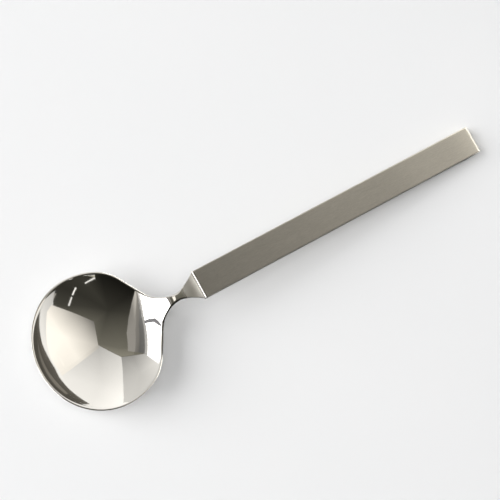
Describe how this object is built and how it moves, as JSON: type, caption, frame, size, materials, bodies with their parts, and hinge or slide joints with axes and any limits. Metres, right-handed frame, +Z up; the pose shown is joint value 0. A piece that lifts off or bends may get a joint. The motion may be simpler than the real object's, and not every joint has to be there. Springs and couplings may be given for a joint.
{
  "type": "soup spoon",
  "caption": "Round-bowled soup spoon: mirror-polished bowl and thin flared neck set into a satin hollow handle of rectangular section.",
  "frame": {"origin": "on the surface that the spoon lies on, under the middle of its length and width", "axes": "+X along the length from the bowl's tip to the handle's end, +Y to the side, +Z up; the spoon lies at rest on its bowl and on the far edge of its handle"},
  "size_m": [0.183, 0.05, 0.0184],
  "materials": {
    "polished_steel": "polished",
    "satin_steel": "satin",
    "filler_cement": "matte"
  },
  "bodies": {
    "root": {"spoon_head": "polished_steel", "mouth_collar": "polished_steel", "handle_upper_shell": "satin_steel", "handle_lower_shell": "satin_steel", "handle_end_cap": "satin_steel", "handle_filler": "filler_cement"}
  },
  "joints": []
}
